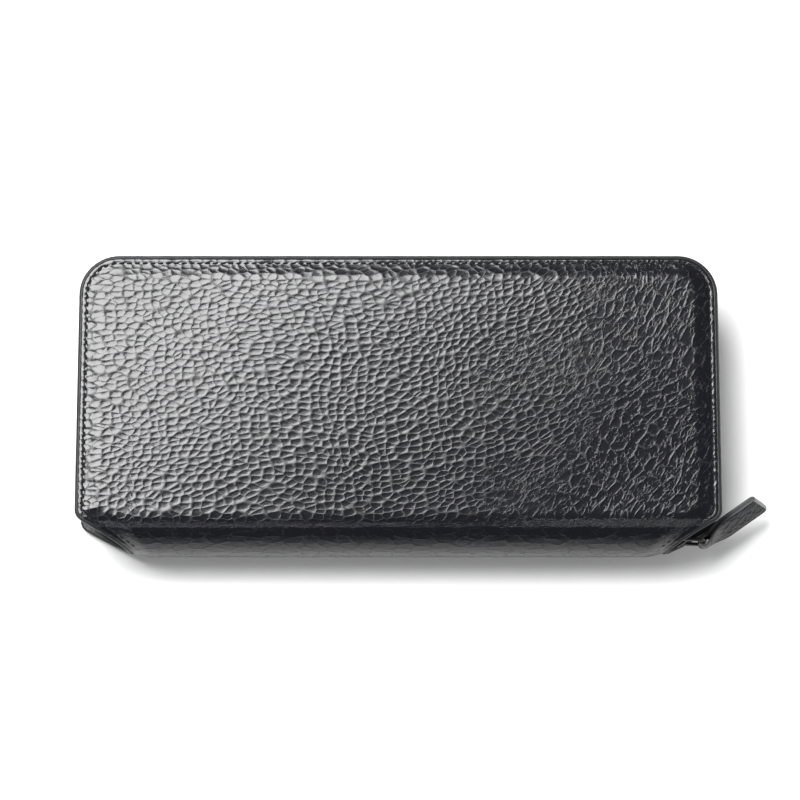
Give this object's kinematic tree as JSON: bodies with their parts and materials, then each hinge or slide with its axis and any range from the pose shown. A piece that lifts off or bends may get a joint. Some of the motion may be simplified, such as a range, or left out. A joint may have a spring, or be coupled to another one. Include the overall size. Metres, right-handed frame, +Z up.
{
  "type": "long zip-around wallet",
  "caption": "Long zip-around wallet in pebbled black leather: two stiffened covers on a round spine, card slots, coin pouch, zip with a leather pull tab.",
  "frame": {"origin": "middle of the flat outer face of the back cover, which the closed wallet lies on", "axes": "+X along the length, +Y from the spine to the long zip side, +Z up through the thickness"},
  "size_m": [0.2157, 0.094, 0.024],
  "materials": {
    "outer_leather": "pebbled shrunken grain, semi-matt",
    "lining_leather": "fine smooth grain, satin",
    "interlining": "felt, matt",
    "board": "fibre board, matt",
    "pouch_cloth": "fine twill",
    "zip_tape": "woven herringbone tape",
    "thread": "waxed bonded thread",
    "gunmetal": "dark plated, satin"
  },
  "bodies": {
    "back_cover": {"back_leather": "outer_leather", "back_interlining": "interlining", "back_board": "board", "back_lining": "lining_leather", "back_card_strip_1": "lining_leather", "back_card_strip_2": "lining_leather", "back_card_strip_3": "lining_leather", "back_card_strip_4": "lining_leather", "back_zip_tape": "zip_tape", "back_zip_teeth": "gunmetal", "back_seam_thread": "thread"},
    "spine": {"spine_leather": "outer_leather", "spine_interlining": "interlining", "spine_lining": "lining_leather", "zip_end_tape_left": "zip_tape", "zip_end_tape_right": "zip_tape", "zip_end_teeth_left": "gunmetal", "zip_end_teeth_right": "gunmetal", "zip_end_stops": "gunmetal", "gusset_back_left": "lining_leather", "gusset_back_right": "lining_leather", "gusset_front_left": "lining_leather", "gusset_front_right": "lining_leather", "coin_pouch_back": "lining_leather", "coin_pouch_front": "lining_leather", "coin_pouch_lining": "pouch_cloth", "coin_zip_tape_back": "zip_tape", "coin_zip_tape_front": "zip_tape", "coin_zip_teeth": "gunmetal", "coin_zip_stops": "gunmetal"},
    "front_cover": {"front_leather": "outer_leather", "front_interlining": "interlining", "front_board": "board", "front_lining": "lining_leather", "front_card_strip_1": "lining_leather", "front_card_strip_2": "lining_leather", "front_card_strip_3": "lining_leather", "front_card_strip_4": "lining_leather", "front_zip_tape": "zip_tape", "front_zip_teeth": "gunmetal", "front_seam_thread": "thread"},
    "zip_slider": {"slider_body": "gunmetal", "slider_bridge": "gunmetal"},
    "zip_pull": {"pull_ring": "gunmetal"},
    "pull_tab": {"tab_leather": "outer_leather", "tab_filler": "board"},
    "coin_slider": {"coin_slider_body": "gunmetal", "coin_slider_bridge": "gunmetal"},
    "coin_slider_pull": {"coin_pull": "gunmetal"}
  },
  "joints": [
    {"name": "spine_fold", "type": "hinge", "parent": "back_cover", "child": "spine", "pos_m": [0, -0.04063, 0.0014], "axis": [1, 0, 0], "range_deg": [0, 30], "deforming": ["gusset_back_left", "gusset_back_right"]},
    {"name": "cover_fold", "type": "hinge", "parent": "spine", "child": "front_cover", "pos_m": [0, -0.04063, 0.0226], "axis": [1, 0, 0], "range_deg": [0, 30], "deforming": ["gusset_front_left", "gusset_front_right"]},
    {"name": "slider_travel", "type": "slide", "parent": "spine", "child": "zip_slider", "axis": [0.8384, 0.545, 0], "range_m": [0, 0.005]},
    {"name": "pull_swing", "type": "hinge", "parent": "zip_slider", "child": "zip_pull", "pos_m": [0.08737, -0.04213, 0.012], "axis": [0, 0, 1], "range_deg": [-10, 12]},
    {"name": "tab_swing", "type": "hinge", "parent": "zip_pull", "child": "pull_tab", "pos_m": [0.09537, -0.04213, 0.012], "axis": [0, 0, 1], "range_deg": [-90, 8]},
    {"name": "coin_slider_travel", "type": "slide", "parent": "spine", "child": "coin_slider", "axis": [-1, 0, 0], "range_m": [0, 0.142]},
    {"name": "coin_pull_swing", "type": "hinge", "parent": "coin_slider", "child": "coin_slider_pull", "pos_m": [0.071, 0.03075, 0.012], "axis": [0, 0, -1], "range_deg": [0, 170]}
  ],
  "couplings": [
    {"joint": "cover_fold", "follows": "spine_fold", "ratio": 1}
  ]
}
